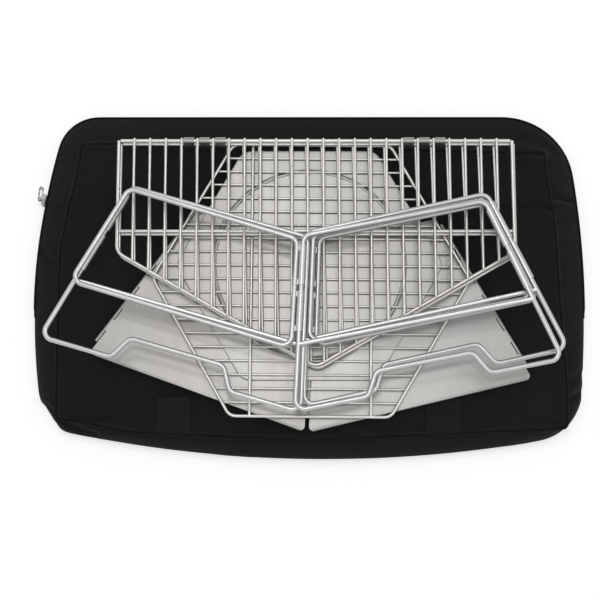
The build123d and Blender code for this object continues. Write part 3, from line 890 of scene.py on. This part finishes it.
class BAG_OT_zip(bpy.types.Operator):
    """Makes the zip round the back and both sides: a tape and two rows of coil"""
    bl_idname = "fire_bowl.zip"
    bl_label = "Zip"

    def execute(self, context):
        settings = context.scene.fire_bowl_zip
        shape = BagShape(context.scene.fire_bowl_bag)
        spots = list(enumerate(shape.waist))
        start = next(i for i, p in spots if p.x < 0 and i > shape.count / 2 and p.y > settings.end)
        stop = next(i for i, p in spots if p.x > 0 and p.y < settings.end)
        ring = list(zip(shape.waist, shape.normals))
        path = ring[start:] + ring[:stop]

        def place(along, across):
            spot, inward = path[min(len(path) - 1, round(along * (len(path) - 1)))]
            from_middle = abs(across - 0.5)
            out = TAPE_OUT + TAPE_RIDGE * hill((from_middle - TAPE_RIDGE_PLACE) / TAPE_RIDGE_HALF)
            if from_middle > 0.49:
                out -= TAPE_EDGE
            whole = soft_step(min(along, 1 - along) / TAPE_END_SHARE)
            laid = spot - inward * (out * whole - TAPE_END_DEPTH * (1 - whole))
            return Vector((laid.x, laid.y, ZIP_MIDDLE + (across - 0.5) * settings.tape))

        bm = bmesh.new()
        laid_strip(bm, len(path) - 1, 12, place)
        tape = finish_piece("zip_tape", bm, "bag", "zip", strap_material("zip_tape_cloth", TAPE_COLOUR))
        thicken(tape, TAPE_THICK)
        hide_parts("zip_chain")
        coil = bmesh.new()
        left = 0.0
        for (a, inward), (b, _) in zip(path, path[1:]):
            left += (b - a).length
            way = (b - a).normalized()
            turn = Matrix.Rotation(math.atan2(way.y, way.x), 4, "Z")
            while left >= settings.pitch:
                left -= settings.pitch
                for side in (-1, 1):
                    spot = b - way * left - inward * COIL_OUT + way * settings.pitch * 0.25 * side
                    move = Matrix.Translation((spot.x, spot.y, ZIP_MIDDLE + side * COIL_SIDE))
                    ellipsoid(coil, move @ turn, COIL_BEAD)
        nylon = thread_material("zip_coil_nylon", COIL_COLOUR)
        finish_piece("zip_coil", coil, "bag", "zip", nylon)
        return {"FINISHED"}


class RodSettings(bpy.types.PropertyGroup):
    crease: angle_setting("Crease", "Edges that turn more than this stay sharp", math.radians(38))
    merge: length_setting("Merge", "Corners nearer than this become one", mm(0.002))


class STEEL_OT_rods(bpy.types.Operator):
    """Makes smooth rods, sleeves, clips and rolled edges from the solids, each on its own body"""
    bl_idname = "fire_bowl.rods"
    bl_label = "Smooth rods"

    def execute(self, context):
        settings = context.scene.fire_bowl_rods
        for body, nodes in frame["record"]["behaviour"]["bodies"].items():
            for node in nodes:
                slot = SLOTS[node]
                if slot not in STEEL_SLOTS or node == "base_plate":
                    continue
                solid = frame["nodes"][node]
                bm = bmesh.new()
                bm.from_mesh(solid.data)
                bmesh.ops.remove_doubles(bm, verts=bm.verts, dist=settings.merge)
                bmesh.ops.dissolve_degenerate(bm, edges=bm.edges, dist=settings.merge / 4)
                bmesh.ops.recalc_face_normals(bm, faces=bm.faces)
                for edge in bm.edges:
                    edge.smooth = edge.is_manifold and edge.calc_face_angle() < settings.crease
                piece = finish_piece("smooth_" + node, bm, body, slot, solid.data.materials[0])
                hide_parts(node)
        return {"FINISHED"}


# The folded bowl wall's fan: its apex behind the bag, its turn, the reach of its rim and a panel's angle.
FAN_APEX = Vector((mm(21.84), mm(283.38)))
FAN_TURN = math.radians(-3.3)
FAN_REACH = mm(454.13)
PANEL_ANGLE = math.radians(33.4)
# Each panel's body, its side of the fan, the height of its sheet's middle in millimetres, and 1 where its
# hem faces up. The lowest panel's hem faces up too, clear of the strap under it.
HEMS = (("wall_a", 1, 32.3, 1), ("wall_b", 1, 35.3, 1), ("wall_c", 1, 38.3, -1),
        ("wall_d", 1, 41.3, 1), ("wall_e", -1, 41.3, 1), ("wall_f", -1, 38.3, -1))
# How far a hem stands in from the rim's edge and sinks into its sheet, and the share of its height that is
# round at its edge.
HEM_INSET = mm(0.05)
HEM_SINK = mm(0.04)
HEM_ROUND = 0.6


def fan_rim(turn):
    """The point of the fan's rim at a turn from straight ahead."""
    return FAN_APEX + Vector((math.sin(turn), -math.cos(turn))) * FAN_REACH


class HemSettings(bpy.types.PropertyGroup):
    width: length_setting("Hem width", "How far the rim's edge is folded over", mm(2.2))
    height: length_setting("Hem height", "How far the flattened fold stands up", mm(0.45))
    end: length_setting("Hem end", "How far the fold stops before the panel's corner", mm(7))
    sheet: length_setting("Sheet", "Thickness of the wall's sheet", mm(1))


class STEEL_OT_hems(bpy.types.Operator):
    """Makes the flattened fold along the rim of each bowl wall panel"""
    bl_idname = "fire_bowl.hems"
    bl_label = "Rim hems"

    def execute(self, context):
        settings = context.scene.fire_bowl_hems
        sheet = frame["nodes"]["base_plate"].data.materials[0]
        for body, side, level, face in HEMS:
            first, last = fan_rim(FAN_TURN), fan_rim(FAN_TURN + side * PANEL_ANGLE)
            way = (last - first).normalized()
            inward = Vector((-way.y, way.x)) * side
            middle = (first + last) / 2 + inward * (settings.width / 2 + HEM_INSET)
            height = mm(level) + face * (settings.sheet + settings.height - HEM_SINK) / 2
            length = (last - first).length - 2 * settings.end
            size = Matrix.Diagonal((length, settings.width, settings.height, 1))
            turn = Matrix.Rotation(math.atan2(way.y, way.x), 4, "Z")
            bm = bmesh.new()
            bmesh.ops.create_cube(
                bm, size=1.0, matrix=Matrix.Translation((middle.x, middle.y, height)) @ turn @ size)
            outer = [e for e in bm.edges if all((v.co.z - height) * face > 0 for v in e.verts)]
            bmesh.ops.bevel(bm, geom=outer, offset=settings.height * HEM_ROUND, segments=3, profile=0.5,
                            affect="EDGES", material=-1)
            finish_piece("rim_hem_" + body[-1], bm, body, "sheet_steel", sheet)
        return {"FINISHED"}


class PlateSettings(bpy.types.PropertyGroup):
    bead_radius: length_setting(
        "Bead radius", "From the plate's middle to the middle of its pressed ring", mm(107))
    bead_width: length_setting("Bead width", "Width of the pressed ring", mm(6))
    gauge: length_setting("Gauge", "Thickness of the plate's sheet", mm(1.2))


# The plate's rings: radii of the flat ones, steps over the bead, and how far past the bead the flat starts,
# as a share of half its width.
PLATE_POINTS = 192
TOP_RADII = (mm(3), mm(40), mm(75), mm(98))
UNDER_RADII = (mm(90), mm(40), mm(3))
BEAD_STEPS = 12
BEAD_REACH = 1.25
BEAD_END = 1.4
# The hollow under the bead is this much narrower on each side than the bead itself.
HOLLOW_LESS = mm(0.8)
# The edge's rings: how far out from the bead's circle to the six-sided edge as a share, and how far below the
# upper face, or above the lower one, in millimetres. This rounds the edge above and below.
UPPER_EDGE = ((0.25, 0), (0.6, 0), (0.85, 0), (0.96, 0), (0.985, 0.03), (0.996, 0.14), (1.0, 0.4))
LOWER_EDGE = ((1.0, 0.4), (0.997, 0.1), (0.96, 0), (0.5, 0))


def bead_height(share):
    """The bead's section: 1 at its middle, and 0 at its sides, which are at -1 and 1, and past them."""
    return 0.5 + 0.5 * math.cos(math.pi * max(-1, min(1, share)))


class STEEL_OT_plate(bpy.types.Operator):
    """Makes the pressed base plate with its smooth ring bead"""
    bl_idname = "fire_bowl.plate"
    bl_label = "Base plate"

    def execute(self, context):
        settings = context.scene.fire_bowl_plate
        low, high = (Vector(corner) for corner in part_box("base_plate"))
        middle = (low + high) / 2
        flat_half = (high.y - low.y) / 2
        tip = (high.x - low.x) / 2
        flat_top = low.z + settings.gauge
        rise = high.z - flat_top
        round_about = []
        edge = []
        for i in range(PLATE_POINTS):
            turn = i * math.tau / PLATE_POINTS
            way = Vector((math.cos(turn), math.sin(turn)))
            reach = min(tip, flat_half / math.cos(turn % (math.tau / 6) - math.tau / 12))
            round_about.append(way)
            edge.append(way * reach)
        edge = smoothed(edge, 2)
        rings = []

        def ring_at(radius, height, square=0.0):
            spots = [(way * radius).lerp(far, square) for way, far in zip(round_about, edge)]
            rings.append([Vector((middle.x + spot.x, middle.y + spot.y, height)) for spot in spots])

        for radius in TOP_RADII:
            ring_at(radius, flat_top)
        half = settings.bead_width / 2
        for i in range(BEAD_STEPS + 1):
            share = BEAD_REACH * (2 * i / BEAD_STEPS - 1)
            ring_at(settings.bead_radius + half * share, flat_top + rise * bead_height(share))
        outer = settings.bead_radius + half * BEAD_END
        for square, drop in UPPER_EDGE:
            ring_at(outer, flat_top - mm(drop), square)
        for square, lift in LOWER_EDGE:
            ring_at(outer, low.z + mm(lift), square)
        for i in range(BEAD_STEPS + 1):
            share = 1 - 2 * i / BEAD_STEPS
            ring_at(settings.bead_radius + (half - HOLLOW_LESS) * share, low.z + rise * bead_height(share))
        for radius in UNDER_RADII:
            ring_at(radius, low.z)
        bm, _ = ring_shell(rings)
        sheet = frame["nodes"]["base_plate"].data.materials[0]
        plate = finish_piece("pressed_plate", bm, "base", "sheet_steel", sheet)
        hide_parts("base_plate")
        return {"FINISHED"}


class StageSettings(bpy.types.PropertyGroup):
    view_angle: angle_setting("View angle", "Horizontal angle that the camera takes in", math.radians(25))
    view_elevation: angle_setting(
        "View elevation", "How far the camera stands above the level", math.radians(81))
    view_distance: length_setting("View distance", "From the camera to the point it looks at", 1.5)
    target: bpy.props.FloatVectorProperty(
        name="Target", description="The point the camera looks at",
        default=(-0.0115, -0.0246, 0.062), subtype="TRANSLATION")
    sky: number_setting("Sky", "Brightness of the even light from all round", 0.32, min=0)
    key: number_setting("Key light", "Watts that the small lamps take their parts of", 3.4, min=0)
    soft: number_setting("Soft light", "Watts that the broad lamps take their parts of", 1.3, min=0)


# The lamps: name, place, side of its square, the setting its power comes from, and how much of it.
LAMPS = (
    ("key_lamp", (-0.05, 0.06, 2.1), 0.25, "key", 0.8),
    ("back_lamp", (-0.1, 0.6, 2.1), 0.16, "key", 0.75),
    ("right_lamp", (0.55, 0.15, 2.1), 1.0, "soft", 1.5),
    ("left_lamp", (-0.55, 0.2, 2.1), 1.0, "soft", 0.45),
)
# The floor: half its side, its colour's level, and what it adds so that it shows white.
FLOOR_HALF = 6.0
FLOOR_LEVEL = 0.85
FLOOR_GLOW = 0.62


def facing(place, target):
    """The turn that points a lamp or a camera from its place at a target."""
    return (Vector(target) - Vector(place)).to_track_quat("-Z", "Y").to_euler()


class STAGE_OT_studio(bpy.types.Operator):
    """Sets the pale floor, the soft lamps and the camera"""
    bl_idname = "fire_bowl.stage"
    bl_label = "Studio"

    def execute(self, context):
        settings = context.scene.fire_bowl_stage
        bm = bmesh.new()
        bmesh.ops.create_grid(bm, x_segments=1, y_segments=1, size=FLOOR_HALF)
        mesh = bpy.data.meshes.new("floor")
        bm.to_mesh(mesh)
        bm.free()
        mesh.materials.append(floor_material(FLOOR_LEVEL, FLOOR_GLOW))
        link_object("floor", mesh)
        context.scene.world = white_world(settings.sky)
        for name, place, size, power, share in LAMPS:
            lamp = bpy.data.lights.new(name, "AREA")
            lamp.energy = getattr(settings, power) * share
            lamp.size = size
            holder = link_object(name, lamp)
            holder.location = place
            holder.rotation_euler = facing(place, (0, 0, 0))
        lens = bpy.data.cameras.new("camera")
        lens.sensor_fit = "HORIZONTAL"
        lens.angle = settings.view_angle
        camera = link_object("camera", lens)
        lean = settings.view_elevation
        target = Vector(settings.target)
        camera.location = target + Vector((0, -math.cos(lean), math.sin(lean))) * settings.view_distance
        camera.rotation_euler = facing(camera.location, target)
        context.scene.camera = camera
        context.scene.view_settings.view_transform = "Standard"
        return {"FINISHED"}


class SteelSettings(bpy.types.PropertyGroup):
    sheet: colour_setting("Sheet colour", "Tone of the wall panels and the base plate", (0.305, 0.3, 0.292))
    grate: colour_setting("Grate colour", "Tone of the two grates and their clips", (0.6, 0.585, 0.562))
    stand: colour_setting("Stand colour", "Tone of the stand's frames and sleeves", (0.5, 0.5, 0.497))
    zip_metal: colour_setting("Zip metal colour", "Tone of the zip's slider and pull", (0.2, 0.2, 0.205))
    sheet_dull: number_setting("Sheet dullness", "Roughness of the rolled sheet", 0.36, min=0, max=1)
    grate_dull: number_setting("Grate dullness", "Roughness of the grates' wire", 0.33, min=0, max=1)
    stand_dull: number_setting("Stand dullness", "Roughness of the stand's rod", 0.3, min=0, max=1)
    roll: angle_setting("Roll", "Which way the sheet's grain runs", 0.4)


class STEEL_OT_finish(bpy.types.Operator):
    """Gives the steel pieces their finishes"""
    bl_idname = "fire_bowl.steel"
    bl_label = "Steel finishes"

    def execute(self, context):
        settings = context.scene.fire_bowl_steel
        zip_metal = zip_metal_material("zip_metal", tuple(settings.zip_metal))
        chosen = {
            "sheet_steel": sheet_steel_material(
                "sheet_steel", tuple(settings.sheet), settings.sheet_dull, settings.roll),
            "grate_steel": rod_steel_material("grate_steel", tuple(settings.grate), settings.grate_dull),
            "stand_steel": rod_steel_material("stand_steel", tuple(settings.stand), settings.stand_dull),
        }
        for node, piece in frame["nodes"].items():
            piece.data.materials.clear()
            piece.data.materials.append(chosen.get(SLOTS[node], zip_metal))
        return {"FINISHED"}


OPERATORS = (STAGE_OT_studio, STEEL_OT_finish, STEEL_OT_rods, STEEL_OT_hems, STEEL_OT_plate,
             BAG_OT_shell, BAG_OT_stitches, BAG_OT_webbing, BAG_OT_zip)
SETTINGS = {
    "fire_bowl_stage": StageSettings,
    "fire_bowl_steel": SteelSettings,
    "fire_bowl_rods": RodSettings,
    "fire_bowl_hems": HemSettings,
    "fire_bowl_plate": PlateSettings,
    "fire_bowl_bag": BagSettings,
    "fire_bowl_webbing": WebbingSettings,
    "fire_bowl_zip": ZipSettings,
}


class VIEW3D_PT_fire_bowl(bpy.types.Panel):
    """Lists the pieces of the fire bowl grill and their settings"""
    bl_label = "Fire Bowl Grill"
    bl_space_type = "VIEW_3D"
    bl_region_type = "UI"
    bl_category = "Fire Bowl"

    def draw(self, context):
        for cls in OPERATORS:
            self.layout.operator(cls.bl_idname)
        for name, group in SETTINGS.items():
            box = self.layout.box()
            for key in group.__annotations__:
                box.prop(getattr(context.scene, name), key)


def register():
    for cls in (*SETTINGS.values(), *OPERATORS, VIEW3D_PT_fire_bowl):
        bpy.utils.register_class(cls)
    for name, group in SETTINGS.items():
        setattr(bpy.types.Scene, name, bpy.props.PointerProperty(type=group))


def unregister():
    for name in SETTINGS:
        delattr(bpy.types.Scene, name)
    for cls in reversed((*SETTINGS.values(), *OPERATORS, VIEW3D_PT_fire_bowl)):
        bpy.utils.unregister_class(cls)


def main():
    register()
    bpy.ops.fire_bowl.stage()
    bpy.ops.fire_bowl.steel()
    bpy.ops.fire_bowl.rods()
    bpy.ops.fire_bowl.hems()
    bpy.ops.fire_bowl.plate()
    bpy.ops.fire_bowl.bag()
    bpy.ops.fire_bowl.stitches()
    bpy.ops.fire_bowl.webbing()
    bpy.ops.fire_bowl.zip()


if __name__ == "__main__":
    main()
